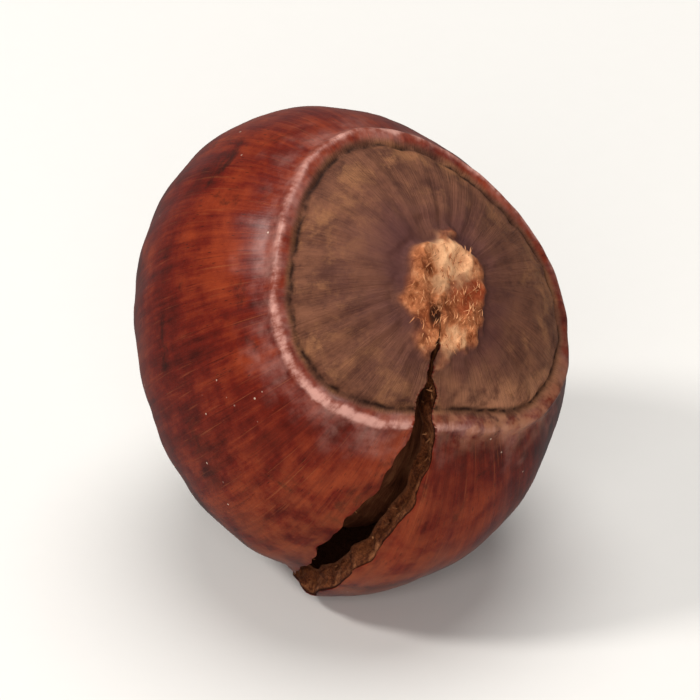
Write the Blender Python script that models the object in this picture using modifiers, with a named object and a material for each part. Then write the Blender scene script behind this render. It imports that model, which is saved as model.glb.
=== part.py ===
"""Hazelnut in its shell: the roasted shell is split down one side, and the kernel lies loose inside.

Blender 4.5, metres, +Z up. The nut rests on a small flat spot on its shell. The origin is on the
surface that it rests on, under the middle of its box.

The nut is shaped in a frame of its own, with +Z along the nut's axis. "Down" is the angle from that
axis: 0 is the middle of the basal scar, and 180 degrees is the pointed tip. "Around" is the turn
about the axis, with the split at 0, towards +X, and the flap that stands proud on its positive side.
"""

import math

import bmesh
import bpy
import numpy as np
from mathutils import Matrix, Vector

MM = 0.001
DEG = math.pi / 180

# Shell: an egg shape a little wider across one diameter than the other
SHELL_RADIUS = 9.85 * MM
SHELL_TAPER = 0.020
SHELL_STRETCH = 0.022
SHELL_OVAL = 0.062
SHELL_OVAL_TURN = 31 * DEG
SHELL_CORNERS = 0.030
SHELL_CORNERS_TURN = -22 * DEG
WALL = 1.2 * MM
BASE_THICKENING = 0.5 * MM
BASE_THICKENING_SPREAD = 40 * DEG

# Tip: a broad shoulder and a small nib
SHOULDER_HEIGHT = 0.75 * MM
SHOULDER_SPREAD = 24 * DEG
NIB_HEIGHT = 0.45 * MM
NIB_SPREAD = 7.5 * DEG

# Split: where it starts and ends down the shell, its edges and the lift of its two flaps
SPLIT_START = 13 * DEG
SPLIT_END = 128 * DEG
SPLIT_STATIONS = 40
EDGE_AT_ENDS = 0.20 * MM
LEFT_EDGE_BULGE = 1.12 * MM
LEFT_EDGE_MIDDLE = 76 * DEG
LEFT_EDGE_SPREAD = 26 * DEG
RIGHT_EDGE_BULGE = 0.98 * MM
RIGHT_EDGE_MIDDLE = 47 * DEG
RIGHT_EDGE_SPREAD = 22 * DEG
SPLINTER = 0.09 * MM
RIGHT_LIFT = 1.35 * MM
RIGHT_LIFT_SPREAD = 58 * DEG
LEFT_LIFT = 0.30 * MM
LEFT_LIFT_SPREAD = 40 * DEG
LIFT_BLEND = 0.4 * MM
CUTTER_MARGIN = 1.2 * MM

# Basal scar: an uneven disc with a raised lip, a fine groove inside the lip and rays across it
SCAR_EDGE = 41.4 * DEG
SCAR_WAVES = ((4.1 * DEG, 1, 148 * DEG), (3.3 * DEG, 2, 175 * DEG), (3.35 * DEG, 3, -124 * DEG))
SCAR_SINK = 0.10 * MM
LIP_HEIGHT = 0.24 * MM
LIP_OFFSET = 0.35 * MM
LIP_WIDTH = 0.36 * MM
GROOVE_DEPTH = 0.14 * MM
GROOVE_OFFSET = -0.30 * MM
GROOVE_WIDTH = 0.25 * MM
RAY_HEIGHT = 0.045 * MM
RAYS = 26

# Pith: the raised fibrous spot in the middle of the scar
PITH_HALF_LENGTH = 2.9 * MM
PITH_HALF_WIDTH = 1.75 * MM
PITH_HEIGHT = 0.42 * MM
PITH_FIBRE = 0.10 * MM
PITH_FIBRE_STEP = 0.19 * MM

# Body: faint ribs from the scar to the tip, and a few broad dents
RIB_HEIGHT = 0.06 * MM
RIBS = 20
DENT_DEPTH = 0.07 * MM

# Kernel: a wrinkled ball with a blunt point, sunk from the shell's middle to the low side of the cavity
KERNEL_RADIUS = 7.25 * MM
KERNEL_STRETCH = 0.03
KERNEL_POINT = 0.55 * MM
KERNEL_POINT_SPREAD = 20 * DEG
WRINKLE_DEPTH = 0.16 * MM
WRINKLES = 9
KERNEL_SINK = (0.30 * MM, -0.60 * MM, -0.95 * MM)

# Rest: how the nut's axis leans on the surface, and how deep the flat spot is
AXIS_LEAN = 48.2 * DEG
AXIS_TURN = -55.5 * DEG
SPLIT_ROLL = -27.4 * DEG
REST_CUT = 0.12 * MM

# Fineness of the turned shapes
SHELL_STEPS = 80
CAVITY_STEPS = 40
CAVITY_ROWS = 22
KERNEL_STEPS = 40
KERNEL_ROWS = 24

AXLE_MERGE = 1e-6
CUTTER_SIZE = 20 * MM


def clear_scene():
    """Remove every object that the scene starts with."""
    for thing in list(bpy.data.objects):
        bpy.data.objects.remove(thing, do_unlink=True)


def smooth_rise(start, end, value):
    """Go smoothly from 0 at start to 1 at end. With start above end, it falls instead."""
    share = np.clip((value - start) / (end - start), 0.0, 1.0)
    return share * share * (3 - 2 * share)


def bump(value, middle, spread):
    """A bell of height 1."""
    return np.exp(-((value - middle) / spread) ** 2)


def split_edges(down):
    """Distances of the split's left and right edge from its centre line, in metres."""
    inside = smooth_rise(SPLIT_START, SPLIT_START + 12 * DEG, down)
    inside = inside * smooth_rise(SPLIT_END, SPLIT_END - 12 * DEG, down)
    left = -EDGE_AT_ENDS - LEFT_EDGE_BULGE * bump(down, LEFT_EDGE_MIDDLE, LEFT_EDGE_SPREAD)
    right = -EDGE_AT_ENDS / 2 + RIGHT_EDGE_BULGE * bump(down, RIGHT_EDGE_MIDDLE, RIGHT_EDGE_SPREAD)
    left = left + inside * SPLINTER * (np.sin(21 * down) + 0.6 * np.sin(47 * down + 1.0))
    right = right + inside * SPLINTER * (np.sin(25 * down + 2.0) + 0.6 * np.sin(41 * down))
    return left, right


def flap_lift(down, around):
    """How far the shell beside the split has sprung outwards."""
    reach = smooth_rise(22 * DEG, 85 * DEG, down) * smooth_rise(SPLIT_END, 98 * DEG, down)
    left, right = split_edges(down)
    from_middle = around * SHELL_RADIUS * np.sin(down) - (left + right) / 2
    on_right = smooth_rise(-LIFT_BLEND, LIFT_BLEND, from_middle)
    right_lift = RIGHT_LIFT * bump(around, 0, RIGHT_LIFT_SPREAD)
    left_lift = LEFT_LIFT * bump(around, 0, LEFT_LIFT_SPREAD)
    return reach * (on_right * right_lift + (1 - on_right) * left_lift)


def shell_form(down, around):
    """The shell's outer radius without its fine relief."""
    oval = SHELL_OVAL * np.cos(2 * (around - SHELL_OVAL_TURN))
    corners = SHELL_CORNERS * np.cos(3 * (around - SHELL_CORNERS_TURN))
    shape = 1 + SHELL_TAPER * np.cos(down) + SHELL_STRETCH * np.cos(2 * down)
    shape = shape + np.sin(down) ** 2 * (oval + corners)
    shoulder = SHOULDER_HEIGHT * bump(down, math.pi, SHOULDER_SPREAD)
    nib = NIB_HEIGHT * bump(down, math.pi, NIB_SPREAD)
    return SHELL_RADIUS * shape + shoulder + nib + flap_lift(down, around)


def scar_edge(around):
    """The angle down to the scar's uneven edge."""
    edge = SCAR_EDGE + 0 * around
    for height, waves, turn in SCAR_WAVES:
        edge = edge + height * np.cos(waves * around - turn)
    return edge


def pith_relief(down, around):
    """The raised pith spot, an oval along the split, with coarse fibres."""
    along = SHELL_RADIUS * np.sin(down) * np.cos(around)
    across = SHELL_RADIUS * np.sin(down) * np.sin(around)
    reach = np.hypot(along / PITH_HALF_LENGTH, across / PITH_HALF_WIDTH)
    near_axis = np.where(down < math.pi / 2, 1.0, 0.0)
    pad = near_axis * smooth_rise(1.12, 0.84, reach)
    fibres = np.sin(across / PITH_FIBRE_STEP + np.sin(along / (3 * PITH_FIBRE_STEP)))
    return pad * (PITH_HEIGHT + PITH_FIBRE * fibres)


def scar_relief(down, around):
    """The scar's sunken disc with its rays, and the lip and groove along its edge."""
    outside = (down - scar_edge(around)) * SHELL_RADIUS
    disc = smooth_rise(0, GROOVE_OFFSET, outside)
    lip = LIP_HEIGHT * bump(outside, LIP_OFFSET, LIP_WIDTH)
    groove = GROOVE_DEPTH * bump(outside, GROOVE_OFFSET, GROOVE_WIDTH)
    rays = RAY_HEIGHT * np.cos(RAYS * around + 2 * np.sin(5 * down)) * smooth_rise(10 * DEG, 24 * DEG, down)
    return lip - groove + disc * (rays - SCAR_SINK) + pith_relief(down, around)


def body_relief(down, around):
    """Faint ribs from the scar to the tip, and broad dents."""
    window = smooth_rise(SCAR_EDGE, 70 * DEG, down) * smooth_rise(168 * DEG, 120 * DEG, down)
    ribs = RIB_HEIGHT * np.cos(RIBS * around + 1.5 * np.sin(3 * around))
    dents = DENT_DEPTH * np.sin(5 * around + 2 * np.sin(2 * down)) * np.sin(3 * down)
    return window * (ribs + dents)


def shell_surface(down, around):
    """The shell's outer radius with all its relief."""
    return shell_form(down, around) + scar_relief(down, around) + body_relief(down, around)


def cavity_surface(down, around):
    """The radius of the hollow inside the shell, whose wall is thicker behind the scar."""
    wall = WALL + BASE_THICKENING * bump(down, 0, BASE_THICKENING_SPREAD)
    return shell_form(down, around) - wall


def kernel_surface(down, around):
    """The kernel's radius: a ball with wavy lengthwise wrinkles and a blunt point."""
    ball = KERNEL_RADIUS * (1 + KERNEL_STRETCH * np.cos(2 * down))
    point = KERNEL_POINT * bump(down, math.pi, KERNEL_POINT_SPREAD)
    waves = np.cos(WRINKLES * around + 1.2 * np.sin(3 * down) + np.sin(2 * around))
    wrinkles = WRINKLE_DEPTH * np.sin(down) * np.minimum(waves, 0.4)
    return ball + point + wrinkles


def follow_scar_edge(down, around):
    """Slide the rows near the scar's lip so that they run along its uneven edge."""
    near = smooth_rise(0, SCAR_EDGE, down) * smooth_rise(95 * DEG, SCAR_EDGE, down)
    return down + near * (scar_edge(around) - SCAR_EDGE)


def keep_rows(down, _around):
    """Leave the rows as they were turned."""
    return down


def shell_rows():
    """Angles down of the shell's rows, closest together across the lip and at the nib."""
    scar = np.linspace(0, SCAR_EDGE - 4.5 * DEG, 11)
    lip = SCAR_EDGE + np.linspace(-3.2, 5.0, 8) * DEG
    side = np.linspace(SCAR_EDGE + 9 * DEG, 158 * DEG, 20)
    tip = np.linspace(163 * DEG, math.pi, 6)
    return np.concatenate([scar, lip, side, tip])


def even_rows(count):
    """Evenly spaced angles down from the scar to the tip."""
    return np.linspace(0, math.pi, count)


def point_at(down, around, radius):
    """Points in the nut's own frame, one row each."""
    across = radius * np.sin(down)
    return np.stack([across * np.cos(around), across * np.sin(around), radius * np.cos(down)], axis=-1)


def turned_ball(name, rows, steps):
    """Turn a half circle about the nut's axis with a Screw modifier, as one closed mesh."""
    profile = point_at(rows, 0 * rows, SHELL_RADIUS)
    mesh = bpy.data.meshes.new(name)
    mesh.from_pydata([tuple(point) for point in profile], [(i, i + 1) for i in range(len(rows) - 1)], [])
    ball = bpy.data.objects.new(name, mesh)
    bpy.context.scene.collection.objects.link(ball)
    screw = ball.modifiers.new("turn", "SCREW")
    screw.steps = steps
    screw.render_steps = steps
    screw.use_merge_vertices = True
    screw.merge_threshold = AXLE_MERGE
    screw.use_smooth_shade = True
    turned = bpy.data.meshes.new_from_object(ball.evaluated_get(bpy.context.evaluated_depsgraph_get()))
    bpy.data.objects.remove(ball, do_unlink=True)
    weld = bmesh.new()
    weld.from_mesh(turned)
    bmesh.ops.remove_doubles(weld, verts=weld.verts, dist=AXLE_MERGE)
    weld.to_mesh(turned)
    weld.free()
    return turned


def shaped_ball(name, rows, steps, surface, slide=keep_rows):
    """Turn a ball and move each of its points out or in to the given surface."""
    mesh = turned_ball(name, rows, steps)
    points = np.empty(3 * len(mesh.vertices))
    mesh.vertices.foreach_get("co", points)
    points = points.reshape(-1, 3)
    down = np.arctan2(np.hypot(points[:, 0], points[:, 1]), points[:, 2])
    around = np.arctan2(points[:, 1], points[:, 0])
    down = slide(down, around)
    shaped = point_at(down, around, surface(down, around))
    mesh.vertices.foreach_set("co", shaped.ravel())
    mesh.update()
    return mesh


def split_cutter_mesh():
    """A curved blade that is as wide as the split and crosses the wall, lofted from station to station."""
    down = np.linspace(SPLIT_START, SPLIT_END, SPLIT_STATIONS)
    left, right = split_edges(down)
    arm = SHELL_RADIUS * np.sin(down)
    inner = cavity_surface(down, 0 * down) - RIGHT_LIFT - CUTTER_MARGIN
    outer = shell_surface(down, 0 * down) + RIGHT_LIFT + CUTTER_MARGIN
    corners = [
        point_at(down, left / arm, inner),
        point_at(down, left / arm, outer),
        point_at(down, right / arm, outer),
        point_at(down, right / arm, inner),
    ]
    blade = bmesh.new()
    sections = []
    for station in range(SPLIT_STATIONS):
        sections.append([blade.verts.new(corner[station]) for corner in corners])
    for near, far in zip(sections, sections[1:]):
        for side in range(4):
            after = (side + 1) % 4
            blade.faces.new((near[side], near[after], far[after], far[side]))
    blade.faces.new(sections[0])
    blade.faces.new(sections[-1])
    bmesh.ops.recalc_face_normals(blade, faces=blade.faces)
    mesh = bpy.data.meshes.new("split_blade")
    blade.to_mesh(mesh)
    blade.free()
    return mesh


def add_object(name, mesh, collection, parent=None):
    """Put a mesh into a collection as an object, under a parent if one is given."""
    thing = bpy.data.objects.new(name, mesh)
    thing.parent = parent
    collection.objects.link(thing)
    return thing


def add_cutter(name, mesh, collection, target, parent=None):
    """Cut a shape away from the target with a Boolean modifier."""
    cutter = add_object(name, mesh, collection, parent)
    cutter.hide_render = True
    cutter.display_type = "WIRE"
    cut = target.modifiers.new(name, "BOOLEAN")
    cut.operation = "DIFFERENCE"
    cut.solver = "EXACT"
    cut.object = cutter
    return cutter


def floor_block_mesh():
    """A block whose top face is the surface that the nut rests on."""
    block = bmesh.new()
    bmesh.ops.create_cube(block, size=CUTTER_SIZE, matrix=Matrix.Translation((0, 0, -CUTTER_SIZE / 2)))
    mesh = bpy.data.meshes.new("rest_block")
    block.to_mesh(mesh)
    block.free()
    return mesh


def dress(thing, colour, roughness):
    """Give an object its own material and smooth shading."""
    material = bpy.data.materials.new(thing.name)
    material.use_nodes = True
    surface = material.node_tree.nodes["Principled BSDF"]
    surface.inputs["Base Color"].default_value = (*colour, 1.0)
    surface.inputs["Roughness"].default_value = roughness
    surface.inputs["Metallic"].default_value = 0.0
    thing.data.materials.clear()
    thing.data.materials.append(material)
    thing.data.shade_smooth()
    thing.data.set_sharp_from_angle(angle=40 * DEG)


def nut_turn():
    """The turn from the nut's own frame to the way it lies on the surface."""
    lean = Matrix.Rotation(AXIS_LEAN, 4, "Y")
    return Matrix.Rotation(AXIS_TURN, 4, "Z") @ lean @ Matrix.Rotation(SPLIT_ROLL, 4, "Z")


def nut_place(mesh):
    """Where the nut's own frame lies, so that the flat spot is at Z 0 and the box is centred."""
    turn = nut_turn()
    points = np.array([turn @ vertex.co for vertex in mesh.vertices])
    low = points.min(axis=0)
    high = points.max(axis=0)
    middle = (low + high) / 2
    return Matrix.Translation((-middle[0], -middle[1], -low[2] - REST_CUT)) @ turn


def kernel_place():
    """Where the kernel's middle lies in the nut's own frame."""
    return nut_turn().inverted() @ Vector(KERNEL_SINK)


def main():
    """Build the shell and the kernel."""
    clear_scene()
    parts = bpy.data.collections.new("hazelnut")
    cutters = bpy.data.collections.new("cutters")
    bpy.context.scene.collection.children.link(parts)
    bpy.context.scene.collection.children.link(cutters)

    shell_mesh = shaped_ball("shell", shell_rows(), SHELL_STEPS, shell_surface, follow_scar_edge)
    cavity_mesh = shaped_ball("cavity", even_rows(CAVITY_ROWS), CAVITY_STEPS, cavity_surface)
    kernel_mesh = shaped_ball("kernel", even_rows(KERNEL_ROWS), KERNEL_STEPS, kernel_surface)

    nut = bpy.data.objects.new("nut_axis", None)
    parts.objects.link(nut)
    nut.matrix_world = nut_place(shell_mesh)

    shell = add_object("shell", shell_mesh, parts, nut)
    add_cutter("cavity", cavity_mesh, cutters, shell, nut)
    add_cutter("split_blade", split_cutter_mesh(), cutters, shell, nut)
    add_cutter("rest_block", floor_block_mesh(), cutters, shell)
    dress(shell, (0.27, 0.10, 0.04), 0.38)

    kernel = add_object("kernel", kernel_mesh, parts, nut)
    kernel.location = kernel_place()
    dress(kernel, (0.34, 0.17, 0.08), 0.65)


if __name__ == "__main__":
    main()
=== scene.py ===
"""Looks of a roasted hazelnut in its split shell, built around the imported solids.

The nut is worked out in a frame of its own, with +Z along its axis. "Down" is the angle from that
axis: 0 is the middle of the basal scar and half a turn is the pointed tip. "Around" is the turn about
the axis, with the split at 0 and the flap that stands proud on the positive side. "Grain" is a point
on the unit circle with the angle down as its height, which makes a pattern run along the nut. Sizes
are metres and angles are radians.
"""

from __future__ import annotations

import itertools
import logging
import math
from dataclasses import dataclass, field
from enum import Enum

import bmesh
import bpy
import numpy as np
from mathutils import Matrix, Vector
from numpy.typing import NDArray


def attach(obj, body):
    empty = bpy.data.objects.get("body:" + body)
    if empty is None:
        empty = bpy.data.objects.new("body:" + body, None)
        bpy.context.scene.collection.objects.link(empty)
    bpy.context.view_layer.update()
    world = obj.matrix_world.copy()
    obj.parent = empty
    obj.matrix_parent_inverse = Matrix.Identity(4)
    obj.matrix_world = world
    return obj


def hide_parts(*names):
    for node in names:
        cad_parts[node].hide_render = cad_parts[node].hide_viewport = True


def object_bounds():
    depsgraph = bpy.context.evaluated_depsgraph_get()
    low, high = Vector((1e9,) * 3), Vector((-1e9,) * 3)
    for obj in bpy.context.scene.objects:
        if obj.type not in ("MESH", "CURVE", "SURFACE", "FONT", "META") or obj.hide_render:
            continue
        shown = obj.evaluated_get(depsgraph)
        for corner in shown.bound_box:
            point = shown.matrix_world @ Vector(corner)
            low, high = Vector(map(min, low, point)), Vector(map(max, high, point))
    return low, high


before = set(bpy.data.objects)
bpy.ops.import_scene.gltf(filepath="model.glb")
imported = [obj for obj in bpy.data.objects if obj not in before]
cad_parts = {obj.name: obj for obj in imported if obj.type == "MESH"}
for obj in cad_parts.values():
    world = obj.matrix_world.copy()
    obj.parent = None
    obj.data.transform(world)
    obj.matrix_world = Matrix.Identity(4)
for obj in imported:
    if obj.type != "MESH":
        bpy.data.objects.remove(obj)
CAD_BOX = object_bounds()

Array = NDArray[np.float64]
Colour = tuple[float, float, float]
MM = 0.001
DEG = math.pi / 180
FLOOR = CAD_BOX[0].z
BODY = "root"
WELD = 1e-8
EMPTY = 1e-9
LOG = logging.getLogger("hazelnut")


class Zone(Enum):
    """The mesh attributes that say where on the nut a point is."""

    SCAR = "scar"
    LIP = "lip"
    BARE = "bare"
    BLOOM = "bloom"
    WARM = "warm"
    GROOVE = "groove"
    PIT = "pit"
    PITH = "pith"
    CREAM = "cream"
    RUST = "rust"
    DEPTH = "depth"
    TIP = "tip"
    SMOKE = "smoke"
    GRAIN = "grain"


class Maths(Enum):
    """What a Math node works out."""

    ADD = "ADD"
    SUBTRACT = "SUBTRACT"
    MULTIPLY = "MULTIPLY"
    LARGER = "MAXIMUM"


def smooth_rise(start: float, end: float, value: Array) -> Array:
    """Go smoothly from 0 to 1: three times the square less twice the cube of the share of the way.

    Args:
        start: Where the rise begins. With start above end, it falls instead.
        end: Where the rise is complete.
        value: The values to grade.

    Returns:
        A value from 0 to 1 for each.
    """
    share = np.clip((value - start) / (end - start), 0.0, 1.0)
    return share * share * (3 - 2 * share)


def bell(value: Array, middle: float, spread: float) -> Array:
    """Return a bell of height 1: e to the minus square of the distance from its middle in spreads."""
    return np.exp(-(((value - middle) / spread) ** 2))


def point_at(down: Array, around: Array, radius: Array | float = 1.0) -> Array:
    """Return points in the nut's own frame from two angles and a distance."""
    across = radius * np.sin(down)
    return np.stack([across * np.cos(around), across * np.sin(around), radius * np.cos(down)], axis=-1)


def grain_at(down: Array, around: Array) -> Array:
    """Return the grain: a point on the unit circle, and the angle down as its height."""
    return np.stack([np.cos(around), np.sin(around), down], axis=-1)


@dataclass(frozen=True)
class Noise:
    """Seeded noise: random numbers at the points of a cubic lattice, blended smoothly between them."""

    seed: int
    cells: int = 32

    def at(self, points: Array, scale: float) -> Array:
        """Read the noise: the lattice's eight nearest numbers, weighted by smooth shares of the cell.

        Args:
            points: Places in space, three numbers each.
            scale: Lattice cells in each unit of length.

        Returns:
            A value from -1 to 1 for each place.
        """
        lattice = np.random.default_rng(self.seed).uniform(-1, 1, (self.cells,) * 3)
        cell = np.floor(points * scale)
        share = points * scale - cell
        share = share * share * (3 - 2 * share)
        total = np.zeros(points.shape[:-1])
        for corner in itertools.product((0, 1), repeat=3):
            index = (cell.astype(int) + corner) % self.cells
            weight = np.prod(np.where(corner, share, 1 - share), axis=-1)
            total += weight * lattice[index[..., 0], index[..., 1], index[..., 2]]
        return total

    def layered(self, points: Array, scale: float, layers: int = 3) -> Array:
        """Return noise with each finer layer half as strong as the last."""
        return sum(self.at(points, scale * 2**layer) * 0.5**layer for layer in range(layers))

    def veins(self, grain: Array, across: float, along: float) -> Array:
        """Return layered noise that runs along the nut, with so many cells across and along the grain."""
        return self.layered(grain * np.array([across, across, along]), 1.0)


@dataclass(frozen=True)
class NutForm:
    """The form that the solids have, from the same driving sizes.

    Each edge of the split is a bell, given by its bulge, its middle and its spread. Its splinters are
    sine waves down it, each given by waves to the radian, height and start.
    """

    radius: float = 9.85 * MM
    taper: float = 0.020
    stretch: float = 0.022
    oval: float = 0.062
    oval_turn: float = 31 * DEG
    corners: float = 0.030
    corners_turn: float = -22 * DEG
    wall: float = 1.2 * MM
    base_thickening: float = 0.5 * MM
    base_thickening_spread: float = 40 * DEG
    shoulder_height: float = 0.75 * MM
    shoulder_spread: float = 24 * DEG
    nib_height: float = 0.45 * MM
    nib_spread: float = 7.5 * DEG
    split_start: float = 13 * DEG
    split_end: float = 128 * DEG
    edge_at_ends: float = 0.20 * MM
    left_edge: tuple[float, float, float] = (1.12 * MM, 76 * DEG, 26 * DEG)
    right_edge: tuple[float, float, float] = (0.98 * MM, 47 * DEG, 22 * DEG)
    splinter: float = 0.09 * MM
    splinter_fade: float = 12 * DEG
    left_splinters: tuple[tuple[float, float, float], ...] = ((21, 1.0, 0.0), (47, 0.6, 1.0))
    right_splinters: tuple[tuple[float, float, float], ...] = ((25, 1.0, 2.0), (41, 0.6, 0.0))
    lift_rise: tuple[float, float] = (22 * DEG, 85 * DEG)
    lift_fall: float = 98 * DEG
    right_lift: float = 1.35 * MM
    right_lift_spread: float = 58 * DEG
    left_lift: float = 0.30 * MM
    left_lift_spread: float = 40 * DEG
    lift_blend: float = 0.4 * MM
    lean: float = 48.2 * DEG
    turn: float = -55.5 * DEG
    roll: float = -27.4 * DEG
    rest_cut: float = 0.12 * MM

    def split_edges(self, down: Array) -> tuple[Array, Array]:
        """Work out the split's two edges: a bell to each side, with splinters of two wave lengths.

        Args:
            down: Angles down the shell.

        Returns:
            The distances of the left and the right edge from the split's centre line.
        """
        inside = smooth_rise(self.split_start, self.split_start + self.splinter_fade, down)
        inside = inside * smooth_rise(self.split_end, self.split_end - self.splinter_fade, down)
        sides = (
            (-self.edge_at_ends, -1, self.left_edge, self.left_splinters),
            (-self.edge_at_ends / 2, 1, self.right_edge, self.right_splinters),
        )
        edges = []
        for rest, way, (bulge, middle, spread), waves in sides:
            splinters = sum(height * np.sin(count * down + start) for count, height, start in waves)
            curve = rest + way * bulge * bell(down, middle, spread)
            edges.append(curve + inside * self.splinter * splinters)
        return edges[0], edges[1]

    def lift(self, down: Array, around: Array) -> Array:
        """Work out how far the shell beside the split has sprung out, more on the right flap.

        Each side has a bell about the split, and the two blend across the split's middle line. A smooth
        rise and fall down the shell leaves both ends of the split where they grew.

        Args:
            down: Angles down the shell.
            around: Angles about the axis.

        Returns:
            What the lift adds to the radius.
        """
        reach = smooth_rise(*self.lift_rise, down) * smooth_rise(self.split_end, self.lift_fall, down)
        left, right = self.split_edges(down)
        from_middle = around * self.radius * np.sin(down) - (left + right) / 2
        on_right = smooth_rise(-self.lift_blend, self.lift_blend, from_middle)
        right_lift = self.right_lift * bell(around, 0, self.right_lift_spread)
        left_lift = self.left_lift * bell(around, 0, self.left_lift_spread)
        return reach * (on_right * right_lift + (1 - on_right) * left_lift)

    def outer(self, down: Array, around: Array) -> Array:
        """Work out the outer radius without relief.

        An egg is the radius times 1, plus the taper by the cosine of down, plus the stretch by the
        cosine of twice down. The girth is oval and a little three-cornered, by cosines of two and
        three times around that fade at both ends. Two bells make the tip, and the lift is added.

        Args:
            down: Angles down the shell.
            around: Angles about the axis.

        Returns:
            The distance of each point from the nut's middle.
        """
        oval = self.oval * np.cos(2 * (around - self.oval_turn))
        corners = self.corners * np.cos(3 * (around - self.corners_turn))
        shape = 1 + self.taper * np.cos(down) + self.stretch * np.cos(2 * down)
        shape = shape + np.sin(down) ** 2 * (oval + corners)
        shoulder = self.shoulder_height * bell(down, math.pi, self.shoulder_spread)
        nib = self.nib_height * bell(down, math.pi, self.nib_spread)
        return self.radius * shape + shoulder + nib + self.lift(down, around)

    def inner(self, down: Array, around: Array) -> Array:
        """Return the radius of the hollow: the outer one less a wall that a bell thickens at the scar."""
        wall = self.wall + self.base_thickening * bell(down, 0, self.base_thickening_spread)
        return self.outer(down, around) - wall

    def nut_turn(self) -> Matrix:
        """Return the turn from the nut's own frame to the way it lies."""
        lean = Matrix.Rotation(self.lean, 4, "Y")
        return Matrix.Rotation(self.turn, 4, "Z") @ lean @ Matrix.Rotation(self.roll, 4, "Z")


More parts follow.
